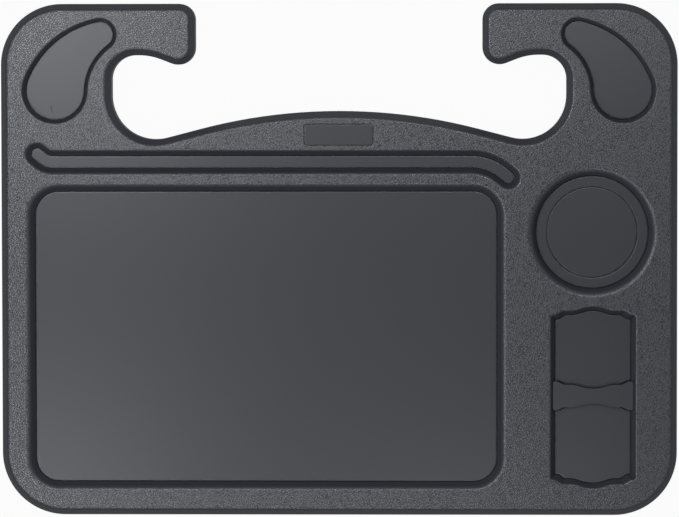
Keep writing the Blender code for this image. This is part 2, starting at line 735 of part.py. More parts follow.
def pocket_pieces(tray):
    """A liner in each pocket, and the bridge that stands between the liners."""
    side = POCKET_RUN + CLEARANCE
    floor = FACE_Z - POCKET_DEPTH
    inlay("upper_pocket_liner", upper_pocket_outline, side, floor, INLAY_THICK, SMOOTH_BLACK, tray)
    inlay("lower_pocket_liner", lower_pocket_outline, side, floor, INLAY_THICK, SMOOTH_BLACK, tray)
    top = FACE_Z - BRIDGE_DEPTH
    wall = wall_profile(POCKET_DEPTH, POCKET_RUN, POCKET_RIM)
    wall_run = POCKET_RUN - wall[-2][0]
    wall_drop = POCKET_DEPTH - wall[-2][1]
    top_in = side - wall_run * (POCKET_DEPTH - BRIDGE_DEPTH) / wall_drop
    bridge = stack("pocket_bridge", bridge_outline, [
        (side, floor - INLAY_THICK),
        (side, floor),
        (top_in, top),
    ], tray)
    bridge.data.materials.append(finish("pocket_bridge", SMOOTH_BLACK))


def cup_pieces(tray):
    """The ring on the cup well's ledge and the disc in its bore."""
    ring_top = FACE_Z - CUP_RING_DEPTH
    outer_r = CUP_R - CUP_RUN - CLEARANCE
    inner_r = CUP_DISC_WIDTH / 2 + CUP_LINE
    ring = turned("cup_ring", [
        (outer_r - INLAY_EDGE, ring_top),
        (outer_r, ring_top - INLAY_EDGE),
        (outer_r, ring_top - INLAY_THICK),
        (inner_r, ring_top - INLAY_THICK),
        (inner_r, ring_top - INLAY_EDGE),
        (inner_r + INLAY_EDGE, ring_top),
    ], (CUP_X, CUP_Y), CUP_STEPS, tray, closed=True)
    ring.data.materials.append(finish("cup_ring", SMOOTH_BLACK))
    disc_top = FACE_Z - CUP_DISC_DEPTH
    disc_r = CUP_DISC_WIDTH / 2
    disc = turned("cup_disc", [
        (0.0, disc_top),
        (disc_r - INLAY_EDGE, disc_top),
        (disc_r, disc_top - INLAY_EDGE),
        (disc_r, disc_top - INLAY_THICK),
        (0.0, disc_top - INLAY_THICK),
    ], (CUP_X, CUP_Y), CUP_STEPS, tray)
    disc.data.materials.append(finish("cup_disc", SMOOTH_BLACK))


def screws(tray):
    """Self-tapping screws, driven in from the back."""
    seat = COUNTERBORE_Z - CLEARANCE
    edge_r = SCREW_HEAD_R - SCREW_HEAD_EDGE
    profile = [
        (0.0, SCREW_TOP_Z),
        (SCREW_R, SCREW_TOP_Z - SCREW_TIP),
        (SCREW_R, seat),
        (SCREW_HEAD_R, seat),
        (SCREW_HEAD_R, seat - SCREW_HEAD_HEIGHT / 2),
        (edge_r, HEAD_SINK),
        (0.0, HEAD_SINK),
    ]
    for index, place in enumerate(screw_places(), start=1):
        screw = turned(f"screw_{index:02d}", profile, place, SCREW_STEPS, tray)
        screw.data.materials.append(finish(f"screw_{index:02d}", SCREW_BLACK, metallic=1.0))


def main():
    """Clears the scene and models the tray."""
    for thing in list(bpy.data.objects):
        bpy.data.objects.remove(thing)
    tray = new_collection("steering_wheel_tray")
    cutters = new_collection("cutters")
    front_shell(tray, cutters)
    back_shell(tray, cutters)
    flat_inlays(tray)
    pocket_pieces(tray)
    cup_pieces(tray)
    screws(tray)


main()
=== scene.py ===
"""Looks for the steering wheel tray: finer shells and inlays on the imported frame, lit as in a studio.

Every length is in metres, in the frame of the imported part: +Z comes out of the front face, +Y points at
the hooks and +X at the side with the cup well.
"""
import math

import bmesh
import bpy
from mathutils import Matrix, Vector


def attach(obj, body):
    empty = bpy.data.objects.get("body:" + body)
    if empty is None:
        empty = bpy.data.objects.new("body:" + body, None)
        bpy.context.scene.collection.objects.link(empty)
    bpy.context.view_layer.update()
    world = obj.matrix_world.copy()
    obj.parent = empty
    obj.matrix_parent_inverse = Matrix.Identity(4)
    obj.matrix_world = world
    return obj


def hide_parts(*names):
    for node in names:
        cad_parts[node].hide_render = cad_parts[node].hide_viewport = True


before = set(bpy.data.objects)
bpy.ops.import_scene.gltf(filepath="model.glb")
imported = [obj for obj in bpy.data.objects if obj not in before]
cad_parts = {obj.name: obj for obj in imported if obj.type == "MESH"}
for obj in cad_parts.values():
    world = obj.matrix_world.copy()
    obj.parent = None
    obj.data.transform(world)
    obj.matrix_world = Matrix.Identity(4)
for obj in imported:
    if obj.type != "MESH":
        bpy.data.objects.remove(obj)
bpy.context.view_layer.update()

# Overall size and corners
TRAY_WIDTH = 0.425
TRAY_HEIGHT = 0.3219
TRAY_THICK = 0.022
TOP_CORNER_R = 0.0384
BOTTOM_CORNER_R = 0.0396
EDGE_DROP = 0.0053
EDGE_RUN = 0.005
EDGE_RIM = 0.0025
BACK_FILLET = 0.003

# Hooks and the throats that take the wheel's rim; the shares are of the tray's width or height
HOOK_GAP_SHARE = 0.425
HOOK_THICK_SHARE = 0.1003
THROAT_REACH_SHARE = 0.1241
THROAT_HEIGHT_SHARE = 0.1642
THROAT_TOP_R = 0.0151
THROAT_BOTTOM_R = 0.02755
UNDERSIDE_R = 0.0377
UNDERSIDE_SLOPE = math.radians(21)
TIP_DROP = 0.0108
TIP_TOP_R = 0.0101
TIP_BOTTOM_R = 0.0107
CROWN_R = 0.346
CROWN_SLOPE = math.radians(14.6)

# Shells
SHELL_WALL = 0.0028
PAN_WALL = 0.0024
SPLIT_HEIGHT = 0.010
TONGUE_DEPTH = 0.002
RIB_THICK = 0.0018
RIB_PITCH = 0.056
RIB_DROP = 0.0006

# Seats
CLEARANCE = 0.0003
OVERRUN = 0.002

# Inlays
INLAY_THICK = 0.0016
PANEL_THICK = 0.002

# Main recess
SIDE_BORDER = 0.0151
BOTTOM_BORDER = 0.01505
MAIN_CORNER_R = 0.0209
MAIN_DEPTH = 0.0068
MAIN_RUN = 0.0059
MAIN_RIM = 0.004

# Pen groove
GROOVE_WIDTH = 0.0170
GROOVE_DEPTH = 0.0056
GROOVE_RUN = 0.0046
GROOVE_RIM = 0.0024
GROOVE_TO_THROAT = 0.00565
GROOVE_TO_MAIN = 0.0041
GROOVE_LEFT_INSET = 0.0075
GROOVE_LEFT_RISE = 0.0049
GROOVE_LEFT_R = 0.0115
GROOVE_RIGHT_OVERHANG = 0.0012
GROOVE_RIGHT_DROP = 0.0099
GROOVE_RIGHT_R = 0.032
GROOVE_CURL = math.radians(39)

# Cup well
CUP_OPENING = 0.0826
CUP_SIDE_LAND = 0.0121
CUP_MAIN_LAND = 0.0124
CUP_POCKET_LAND = 0.0043
CUP_RUN = 0.0059
CUP_RIM = 0.0048
CUP_RING_DEPTH = 0.0074
CUP_DISC_DEPTH = 0.0086
CUP_DISC_WIDTH = 0.0564
CUP_LINE = 0.0007

# Pocket bay, its two pockets and the bridge between them
POCKET_WIDTH = 0.0553
POCKET_SIDE_BORDER = 0.0251
POCKET_BOTTOM_BORDER = 0.01625
UPPER_POCKET_SHARE = 0.1631
LOWER_POCKET_SHARE = 0.1687
POCKET_DEPTH = 0.0065
POCKET_RUN = 0.0037
POCKET_RIM = 0.0015
BRIDGE_WAIST = 0.0096
BRIDGE_DEPTH = 0.0028
BRIDGE_BUMP_RISE = 0.0022
BRIDGE_STEP_RISE = 0.0021
BUMP_RISE = 0.0027
BUMP_SLOPE = math.radians(20)
BUMP_FOOT_R = 0.015
STEP_RISE = 0.0027
STEP_R = 0.0012
STEP_OUTER_SHARE = 0.90
STEP_INNER_SHARE = 0.73
BUMP_FOOT_SHARE = 0.41

# Hook recesses; the shares are of the hook's width beside the throat
WELL_SIDE_LAND_SHARE = 0.1845
WELL_THROAT_LAND_SHARE = 0.2024
WELL_RISE = 0.0094
WELL_TIP_R = 0.0112
WELL_TIP_LAND = 0.0082
WELL_TIP_REACH = 0.00685
WELL_BACK_R = 0.0635
WELL_WAIST_R = 0.0340
WELL_DEPTH = 0.0055
WELL_RUN = 0.0028
WELL_RIM = 0.0012

# Badge plate, left bare
BADGE_WIDTH = 0.0440
BADGE_HEIGHT = 0.0140
BADGE_R = 0.0025
BADGE_THICK = 0.0012
BADGE_LINE = 0.0006
BADGE_RISE = 0.0029

# Screws and their bosses
SCREW_R = 0.0015
SCREW_HEAD_R = 0.0028
SCREW_HEAD_HEIGHT = 0.0018
SCREW_HEAD_EDGE = 0.0006
SCREW_BITE = 0.0090
SCREW_TIP = 0.0015
HEAD_SINK = 0.0005
BOSS_WALL = 0.0015
TIP_SCREW_INSET = 0.014
CROWN_SCREW_SPREAD = 0.045
CROWN_SCREW_RISE = 0.0109
BOTTOM_SCREW_SHARE = 0.30
SIDE_SCREW_SHARE = 0.25

# Cross recess in the screw heads
CROSS_LENGTH = 0.0030
CROSS_WIDTH = 0.0007
CROSS_DEPTH = 0.0009

# Crowned edges of the inlays
CROWN_RUN = 0.0008
CROWN_DROP = 0.00014

# The moulding gate's witness mark, and how high its shoulder stands
GATE_X = -0.1807
GATE_Y = 0.0949
GATE_LENGTH = 0.0050
GATE_WIDTH = 0.0011
GATE_HEIGHT = 0.00015
GATE_SHOULDER_SHARE = 0.7
GATE_LEAN = math.radians(12)

# Facets
CHORD_ERROR = 0.000025
RIM_STEPS = 8
FILLET_STEPS = 10
CROWN_STEPS = 8
CUP_STEPS = 144
BOSS_STEPS = 32
SCREW_STEPS = 32
GATE_STEPS = 32
CORNER_KEEP_SHARE = 0.1
SMOOTH_ANGLE = math.radians(32)

# Heights and radii that follow
FACE_Z = TRAY_THICK
DEEPEST_SEAT = CLEARANCE + max(
    MAIN_DEPTH + PANEL_THICK,
    GROOVE_DEPTH + INLAY_THICK,
    CUP_DISC_DEPTH + INLAY_THICK,
    POCKET_DEPTH + INLAY_THICK,
    WELL_DEPTH + INLAY_THICK,
)
BOSS_Z = FACE_Z - DEEPEST_SEAT - PAN_WALL - CLEARANCE
HOLE_R = SCREW_R + CLEARANCE
COUNTERBORE_R = SCREW_HEAD_R + CLEARANCE
COUNTERBORE_Z = HEAD_SINK + SCREW_HEAD_HEIGHT + CLEARANCE
BOSS_R = COUNTERBORE_R + BOSS_WALL
SCREW_TOP_Z = min(BOSS_Z + SCREW_BITE, FACE_Z - SHELL_WALL - CLEARANCE)

# Places across the face that follow
SIDE_X = TRAY_WIDTH / 2
TOP_Y = TRAY_HEIGHT / 2
TIP_X = TRAY_WIDTH * HOOK_GAP_SHARE / 2
THROAT_X = TIP_X + TRAY_WIDTH * THROAT_REACH_SHARE
HOOK_THICK = TRAY_HEIGHT * HOOK_THICK_SHARE
HOOK_ROOT = SIDE_X - THROAT_X
THROAT_TOP_Y = TOP_Y - HOOK_THICK
THROAT_LOW_Y = THROAT_TOP_Y - TRAY_HEIGHT * THROAT_HEIGHT_SHARE
GROOVE_Y = THROAT_LOW_Y - GROOVE_TO_THROAT - GROOVE_WIDTH / 2
CUP_R = CUP_OPENING / 2
CUP_X = SIDE_X - CUP_SIDE_LAND - CUP_R
MAIN_LEFT = SIDE_BORDER - SIDE_X
MAIN_RIGHT = CUP_X - CUP_R - CUP_MAIN_LAND
MAIN_TOP = GROOVE_Y - GROOVE_WIDTH / 2 - GROOVE_TO_MAIN
MAIN_BOTTOM = BOTTOM_BORDER - TOP_Y
MAIN_X = (MAIN_LEFT + MAIN_RIGHT) / 2
MAIN_Y = (MAIN_TOP + MAIN_BOTTOM) / 2
POCKET_X = SIDE_X - POCKET_SIDE_BORDER - POCKET_WIDTH / 2
POCKET_BOTTOM = POCKET_BOTTOM_BORDER - TOP_Y
LOWER_POCKET_TOP = POCKET_BOTTOM + TRAY_HEIGHT * LOWER_POCKET_SHARE
UPPER_POCKET_BOTTOM = LOWER_POCKET_TOP + BRIDGE_WAIST
BAY_TOP = UPPER_POCKET_BOTTOM + TRAY_HEIGHT * UPPER_POCKET_SHARE
CUP_Y = BAY_TOP + CUP_POCKET_LAND + CUP_R
BADGE_Y = THROAT_LOW_Y + BADGE_RISE


def arc(centre, radius, start, turn, steps):
    """Points on a circle, both ends included; a positive turn runs counter-clockwise."""
    points = []
    for step in range(steps + 1):
        angle = start + turn * step / steps
        points.append((centre[0] + radius * math.cos(angle), centre[1] + radius * math.sin(angle)))
    return points


def arc_steps(radius, turn):
    """How many chords keep an arc within the chord error."""
    widest = 2 * math.acos(max(0.0, 1 - CHORD_ERROR / radius))
    return max(2, math.ceil(abs(turn) / widest))


def cross(first, second):
    """Positive where second lies counter-clockwise of first."""
    return first[0] * second[1] - first[1] * second[0]


def inset_corners(corners, inset):
    """Sharp corners (x, y, radius) of a counter-clockwise outline, moved in by a distance."""
    moved = []
    count = len(corners)
    for index, (x, y, radius) in enumerate(corners):
        here = Vector((x, y))
        arrive = (here - Vector(corners[index - 1][:2])).normalized()
        leave = (Vector(corners[(index + 1) % count][:2]) - here).normalized()
        normals = Vector((-arrive.y, arrive.x)) + Vector((-leave.y, leave.x))
        here += normals * inset / (1 + arrive.dot(leave))
        outward = cross(arrive, leave) > 0
        fitted = radius - inset if outward else radius + inset
        moved.append((here.x, here.y, max(fitted, radius * CORNER_KEEP_SHARE)))
    return moved


def corner_turns(corners, closed):
    """Signed turn at each corner; an open path doesn't turn at its ends."""
    turns = []
    last = len(corners) - 1
    for index, (x, y, _) in enumerate(corners):
        if not closed and index in (0, last):
            turns.append(0.0)
            continue
        after = corners[(index + 1) % len(corners)]
        arrive = Vector((x, y)) - Vector(corners[index - 1][:2])
        leave = Vector(after[:2]) - Vector((x, y))
        turns.append(math.atan2(cross(arrive, leave), arrive.dot(leave)))
    return turns


def corner_reaches(corners, turns):
    """How far each corner's rounding reaches along its two sides, limited by the sides' lengths."""
    reaches = [radius * math.tan(abs(turn) / 2) for (_, _, radius), turn in zip(corners, turns)]
    limits = [1.0] * len(corners)
    for index in range(len(corners)):
        after = (index + 1) % len(corners)
        side = (Vector(corners[after][:2]) - Vector(corners[index][:2])).length
        both = reaches[index] + reaches[after]
        if both > side:
            limits[index] = min(limits[index], side / both)
            limits[after] = min(limits[after], side / both)
    return [reach * limit for reach, limit in zip(reaches, limits)]


def rounded(corners, inset=0.0, closed=True):
    """Outline through corners (x, y, radius), each rounded by a tangent arc, moved in by inset."""
    turns = corner_turns(corners, closed)
    placed = inset_corners(corners, inset) if inset else corners
    reaches = corner_reaches(placed, turns)
    points = []
    for index, (x, y, _) in enumerate(placed):
        turn = turns[index]
        reach = reaches[index]
        if not turn or not reach:
            points.append((x, y))
            continue
        arrive = (Vector((x, y)) - Vector(placed[index - 1][:2])).normalized()
        normal = Vector((-arrive.y, arrive.x)) * math.copysign(1.0, turn)
        radius = reach / math.tan(abs(turn) / 2)
        centre = Vector((x, y)) - arrive * reach + normal * radius
        start = math.atan2(-normal.y, -normal.x)
        points += arc(centre, radius, start, turn, arc_steps(corners[index][2], turn))
    return points


def mirrored(points):
    """The same outline on the other side of the tray, still counter-clockwise."""
    return [(-x, y) for x, y in reversed(points)]


def tray_outline(inset):
    """The tray's edge with both hooks."""
    throat_centre_x = THROAT_X - THROAT_BOTTOM_R
    throat_centre_y = THROAT_LOW_Y + THROAT_BOTTOM_R
    slope_x = throat_centre_x - THROAT_BOTTOM_R * math.sin(CROWN_SLOPE)
    slope_y = throat_centre_y - THROAT_BOTTOM_R * math.cos(CROWN_SLOPE)
    apex_y = slope_y + slope_x * math.tan(CROWN_SLOPE)
    bend_x = TIP_X + TIP_DROP / math.tan(UNDERSIDE_SLOPE)
    right = [
        (SIDE_X, -TOP_Y, BOTTOM_CORNER_R),
        (SIDE_X, TOP_Y, TOP_CORNER_R),
        (TIP_X, TOP_Y, TIP_TOP_R),
        (TIP_X, THROAT_TOP_Y - TIP_DROP, TIP_BOTTOM_R),
        (bend_x, THROAT_TOP_Y, UNDERSIDE_R),
        (THROAT_X, THROAT_TOP_Y, THROAT_TOP_R),
        (THROAT_X, apex_y - THROAT_X * math.tan(CROWN_SLOPE), THROAT_BOTTOM_R),
    ]
    left = [(-x, y, radius) for x, y, radius in reversed(right)]
    return rounded(right + [(0.0, apex_y, CROWN_R)] + left, inset)


def box_outline(left, right, bottom, top, radius, inset):
    """A rectangle with round corners."""
    corners = ((right, bottom), (right, top), (left, top), (left, bottom))
    return rounded([(x, y, radius) for x, y in corners], inset)


def main_outline(inset):
    """The main recess at the face."""
    return box_outline(MAIN_LEFT, MAIN_RIGHT, MAIN_BOTTOM, MAIN_TOP, MAIN_CORNER_R, inset)


def badge_outline(inset):
    """The badge plate's shallow recess."""
    half = BADGE_WIDTH / 2
    low = BADGE_Y - BADGE_HEIGHT / 2
    return box_outline(-half, half, low, low + BADGE_HEIGHT, BADGE_R, inset)


def groove_outline(inset):
    """A stroke along the groove's centreline: up at its left end, down at its right end."""
    left_x = MAIN_LEFT + GROOVE_LEFT_INSET
    right_x = MAIN_RIGHT + GROOVE_RIGHT_OVERHANG
    path = rounded([
        (right_x, GROOVE_Y - GROOVE_RIGHT_DROP, 0.0),
        (right_x - GROOVE_RIGHT_DROP / math.tan(GROOVE_CURL), GROOVE_Y, GROOVE_RIGHT_R),
        (left_x + GROOVE_LEFT_RISE / math.tan(GROOVE_CURL), GROOVE_Y, GROOVE_LEFT_R),
        (left_x, GROOVE_Y + GROOVE_LEFT_RISE, 0.0),
    ], closed=False)
    half = GROOVE_WIDTH / 2 - inset
    cap_steps = arc_steps(GROOVE_WIDTH / 2, math.pi)
    sides = [(Vector(after) - Vector(before)).normalized() for before, after in zip(path, path[1:])]
    normals = []
    for arrive, leave in zip(sides[:1] + sides, sides + sides[-1:]):
        both = Vector((arrive.y, -arrive.x)) + Vector((leave.y, -leave.x))
        normals.append(both / (1 + arrive.dot(leave)))
    near = [tuple(Vector(point) + normal * half) for point, normal in zip(path, normals)]
    far = [tuple(Vector(point) - normal * half) for point, normal in zip(path, normals)]
    first = math.atan2(-normals[0].y, -normals[0].x)
    last = math.atan2(normals[-1].y, normals[-1].x)
    right_cap = arc(path[0], half, first, math.pi, cap_steps)
    left_cap = arc(path[-1], half, last, math.pi, cap_steps)
    outline = near[1:-1] + left_cap + far[-2:0:-1] + right_cap
    return outline if signed_area(outline) > 0 else outline[::-1]


def signed_area(points):
    """Twice the area inside an outline, positive when it runs counter-clockwise."""
    return sum(cross(points[index - 1], point) for index, point in enumerate(points))


def wavy_end(half_width, peak, up, bump_rise=BUMP_RISE, step_rise=STEP_RISE):
    """Corners of a pocket's wavy end, from +X to -X: a step at each side and a bump between."""
    foot = BUMP_FOOT_SHARE * POCKET_WIDTH / 2
    rise = foot * math.tan(BUMP_SLOPE)
    crown_r = (rise - bump_rise) / (1 / math.cos(BUMP_SLOPE) - 1)
    shoulder = peak - up * bump_rise
    corner = shoulder - up * step_rise
    right = [
        (half_width, corner, STEP_R),
        (STEP_OUTER_SHARE * half_width, corner, STEP_R),
        (STEP_INNER_SHARE * half_width, shoulder, STEP_R),
        (foot, shoulder, BUMP_FOOT_R),
    ]
    left = [(-x, y, radius) for x, y, radius in reversed(right)]
    crest = (0.0, shoulder + up * rise, crown_r)
    return [(POCKET_X + x, y, radius) for x, y, radius in right + [crest] + left]


def bridge_side(half_width, peak, up):
    """A wavy end where a pocket meets the bridge, with a lower bump and step."""
    return wavy_end(half_width, peak, up, BRIDGE_BUMP_RISE, BRIDGE_STEP_RISE)


def bay_outline(inset):
    """The bay that holds both pockets and the bridge."""
    half = POCKET_WIDTH / 2 - inset
    return rounded(wavy_end(half, BAY_TOP - inset, 1) + wavy_end(half, POCKET_BOTTOM + inset, -1)[::-1])


def upper_pocket_outline(inset):
    """The upper pocket's floor, which meets the bridge at its lower end."""
    half = POCKET_WIDTH / 2 - inset
    seam = bridge_side(half, UPPER_POCKET_BOTTOM + CLEARANCE, -1)
    return rounded(wavy_end(half, BAY_TOP - inset, 1) + seam[::-1])


def lower_pocket_outline(inset):
    """The lower pocket's floor, which meets the bridge at its upper end."""
    half = POCKET_WIDTH / 2 - inset
    seam = bridge_side(half, LOWER_POCKET_TOP - CLEARANCE, 1)
    return rounded(seam + wavy_end(half, POCKET_BOTTOM + inset, -1)[::-1])


def bridge_outline(inset):
    """The bridge: its long sides follow the pockets' wavy ends."""
    half = POCKET_WIDTH / 2 - inset
    lower = bridge_side(half, LOWER_POCKET_TOP, 1)
    return rounded(bridge_side(half, UPPER_POCKET_BOTTOM, -1) + lower[::-1])


def circle_meeting(first, first_r, second, second_r):
    """Where two circles meet on the right hand of the line from the first centre to the second."""
    between = Vector(second) - Vector(first)
    gap = between.length
    along = (first_r ** 2 - second_r ** 2 + gap ** 2) / (2 * gap)
    across = math.sqrt(max(0.0, first_r ** 2 - along ** 2))
    unit = between / gap
    return Vector(first) + unit * along + Vector((unit.y, -unit.x)) * across


def heading(origin, target):
    """Angle of the way from one point to another."""
    return math.atan2(target[1] - origin[1], target[0] - origin[0])


def well_outline(inset):
    """The left hook's recess: a large and a small lobe joined by a long back and a hollow waist."""
    side_land = HOOK_ROOT * WELL_SIDE_LAND_SHARE
    lobe_r = (HOOK_ROOT - side_land - HOOK_ROOT * WELL_THROAT_LAND_SHARE) / 2
    lobe = (side_land + lobe_r - SIDE_X, THROAT_LOW_Y + WELL_RISE + lobe_r)
    tip = (-THROAT_X - WELL_TIP_REACH, TOP_Y - WELL_TIP_LAND - WELL_TIP_R)
    back = circle_meeting(lobe, WELL_BACK_R - lobe_r, tip, WELL_BACK_R - WELL_TIP_R)
    waist = circle_meeting(lobe, WELL_WAIST_R + lobe_r, tip, WELL_WAIST_R + WELL_TIP_R)
    outline = []
    for centre, radius, start, end, nominal in (
        (lobe, lobe_r - inset, heading(back, lobe), heading(lobe, waist), lobe_r),
        (waist, WELL_WAIST_R + inset, heading(waist, lobe), heading(waist, tip), WELL_WAIST_R),
        (tip, WELL_TIP_R - inset, heading(tip, waist), heading(back, tip), WELL_TIP_R),
        (back, WELL_BACK_R - inset, heading(back, tip), heading(back, lobe), WELL_BACK_R),
    ):
        turn = (end - start) % math.tau
        if centre is waist:
            turn -= math.tau
        outline += arc(centre, radius, start, turn, arc_steps(nominal, turn))[:-1]
    return outline


def right_well_outline(inset):
    """The right hook's recess."""
    return mirrored(well_outline(inset))


def wall_profile(depth, run, rim):
    """(across, down) pairs from a flat face over a round rim and down a straight slope to the foot."""
    slope = math.asin(rim / math.hypot(run, depth - rim)) + math.atan2(depth - rim, run)
    pairs = []
    for step in range(RIM_STEPS + 1):
        angle = slope * step / RIM_STEPS
        pairs.append((rim * math.sin(angle), rim * (1 - math.cos(angle))))
    return pairs + [(run, depth)]


def recess_levels(depth, run, rim, seat):
    """(inset, height) pairs of a recess from its seat up: upright seat, sloping wall, round rim."""
    levels = [(run, FACE_Z - depth - seat)]
    for across, down in reversed(wall_profile(depth, run, rim)):
        levels.append((across, FACE_Z - down))
    levels.append((0.0, FACE_Z + OVERRUN))
    return levels


def pan_levels(depth, run, seat):
    """(inset, height) pairs of the outside of the pan that hangs under a recess."""
    foot_z = FACE_Z - depth - seat - PAN_WALL
    return [(run - PAN_WALL, foot_z), (-PAN_WALL / 2, FACE_Z - SHELL_WALL / 2)]


def screw_places():
    """Where the screws stand: hook tips, crown, both sides, bottom edge and beside the pockets."""
    tip = (TIP_X + TIP_SCREW_INSET, TOP_Y - HOOK_THICK / 2)
    crown = (CROWN_SCREW_SPREAD, GROOVE_Y + GROOVE_WIDTH / 2 + CROWN_SCREW_RISE)
    side_x = SIDE_X - SIDE_BORDER / 2
    side_reach = (MAIN_TOP - MAIN_BOTTOM) * SIDE_SCREW_SHARE
    bottom_y = MAIN_BOTTOM - BOTTOM_BORDER / 2
    bottom_reach = (MAIN_RIGHT - MAIN_LEFT) * BOTTOM_SCREW_SHARE
    column_x = (MAIN_RIGHT + POCKET_X - POCKET_WIDTH / 2) / 2
    column_y = (POCKET_BOTTOM + BAY_TOP) / 2
    column_reach = (BAY_TOP - POCKET_BOTTOM) * SIDE_SCREW_SHARE
    places = [tip, (-tip[0], tip[1]), crown, (-crown[0], crown[1])]
    for way in (1, -1):
        places.append((side_x, MAIN_Y + way * side_reach))
        places.append((-side_x, MAIN_Y + way * side_reach))
        places.append((MAIN_X + way * bottom_reach, bottom_y))
        places.append((column_x, column_y + way * column_reach))
    return places


def recess_table():
    """Each flat recess: name, outline at the face, depth, wall's run, rim radius and seat depth."""
    inlay_seat = INLAY_THICK + CLEARANCE
    return [
        ("main", main_outline, MAIN_DEPTH, MAIN_RUN, MAIN_RIM, PANEL_THICK + CLEARANCE),
        ("groove", groove_outline, GROOVE_DEPTH, GROOVE_RUN, GROOVE_RIM, inlay_seat),
        ("bay", bay_outline, POCKET_DEPTH, POCKET_RUN, POCKET_RIM, inlay_seat),
        ("left_well", well_outline, WELL_DEPTH, WELL_RUN, WELL_RIM, inlay_seat),
        ("right_well", right_well_outline, WELL_DEPTH, WELL_RUN, WELL_RIM, inlay_seat),
    ]


def new_piece(name, shape):
    """Puts a finished bmesh in the scene under a name."""
    mesh = bpy.data.meshes.new(name)
    shape.to_mesh(mesh)
    shape.free()
    thing = bpy.data.objects.new(name, mesh)
    bpy.context.scene.collection.objects.link(thing)
    return thing


def stack(name, outline, levels):
    """A closed solid through outlines of equal point count, given as (inset, height), going up."""
    shape = bmesh.new()
    layers = []
    for inset, height in levels:
        layers.append([shape.verts.new((x, y, height)) for x, y in outline(inset)])
    for lower, upper in zip(layers, layers[1:]):
        for index in range(len(lower)):
            shape.faces.new((lower[index - 1], lower[index], upper[index], upper[index - 1]))
    shape.faces.new(reversed(layers[0]))
    shape.faces.new(layers[-1])
    return new_piece(name, shape)


def turned(name, profile, place, steps, closed=False):
    """A solid of revolution; the profile (radius, height) runs down its outer side."""
    shape = bmesh.new()
    rings = []
    for radius, height in profile:
        if radius <= 0:
            rings.append([shape.verts.new((place[0], place[1], height))])
            continue
        ring = []
        for step in range(steps):
            angle = math.tau * step / steps
            x = place[0] + radius * math.cos(angle)
            ring.append(shape.verts.new((x, place[1] + radius * math.sin(angle), height)))
        rings.append(ring)
    pairs = list(zip(rings, rings[1:]))
    if closed:
        pairs.append((rings[-1], rings[0]))
    for upper, lower in pairs:
        for step in range(steps):
            after = (step + 1) % steps
            corners = []
            for vertex in (upper[step % len(upper)], lower[step % len(lower)],
                           lower[after % len(lower)], upper[after % len(upper)]):
                if vertex not in corners:
                    corners.append(vertex)
            shape.faces.new(corners)
    bmesh.ops.recalc_face_normals(shape, faces=shape.faces)
    return new_piece(name, shape)


def block(name, centre, size):
    """A plain straight bar: a rib inside the back shell, or an arm of a screw's cross recess."""
    shape = bmesh.new()
    bmesh.ops.create_cube(shape, size=1.0)
    bmesh.ops.scale(shape, vec=size, verts=shape.verts)
    bmesh.ops.translate(shape, vec=centre, verts=shape.verts)
    return new_piece(name, shape)


def carve(target, tools, operation="DIFFERENCE"):
    """Cuts the tools out of the target, or joins them to it, and leaves one plain mesh."""
    for tool in tools:
        cut = target.modifiers.new(tool.name, "BOOLEAN")
        cut.object = tool
        cut.operation = operation
        cut.solver = "MANIFOLD"
    depsgraph = bpy.context.evaluated_depsgraph_get()
    depsgraph.update()
    carved = bpy.data.meshes.new_from_object(target.evaluated_get(depsgraph))
    target.modifiers.clear()
    target.data = carved
    for tool in tools:
        bpy.data.objects.remove(tool)
    return target


def cup_tools():
    """The cup well's cutter and the pan that hangs under it."""
    floor_r = CUP_R - CUP_RUN
    bore_r = CUP_DISC_WIDTH / 2 + CLEARANCE
    levels = recess_levels(CUP_RING_DEPTH, CUP_RUN, CUP_RIM, INLAY_THICK + CLEARANCE)
    bore_z = FACE_Z - CUP_DISC_DEPTH - INLAY_THICK - CLEARANCE
    profile = [(0.0, levels[-1][1])]
    profile += [(CUP_R - inset, height) for inset, height in reversed(levels)]
    profile += [(bore_r, levels[0][1]), (bore_r, bore_z), (0.0, bore_z)]
    well = turned("cup_cut", profile, (CUP_X, CUP_Y), CUP_STEPS)
    pan_z = bore_z - PAN_WALL
    pan = turned("cup_pan", [
        (0.0, FACE_Z - SHELL_WALL / 2),
        (CUP_R + PAN_WALL, FACE_Z - SHELL_WALL / 2),
        (floor_r + PAN_WALL, pan_z),
        (0.0, pan_z),
    ], (CUP_X, CUP_Y), CUP_STEPS)
    return well, pan


def post(name, place, radius, low, high):
    """An upright round solid."""
    profile = [(0.0, high), (radius, high), (radius, low), (0.0, low)]
    return turned(name, profile, place, BOSS_STEPS)


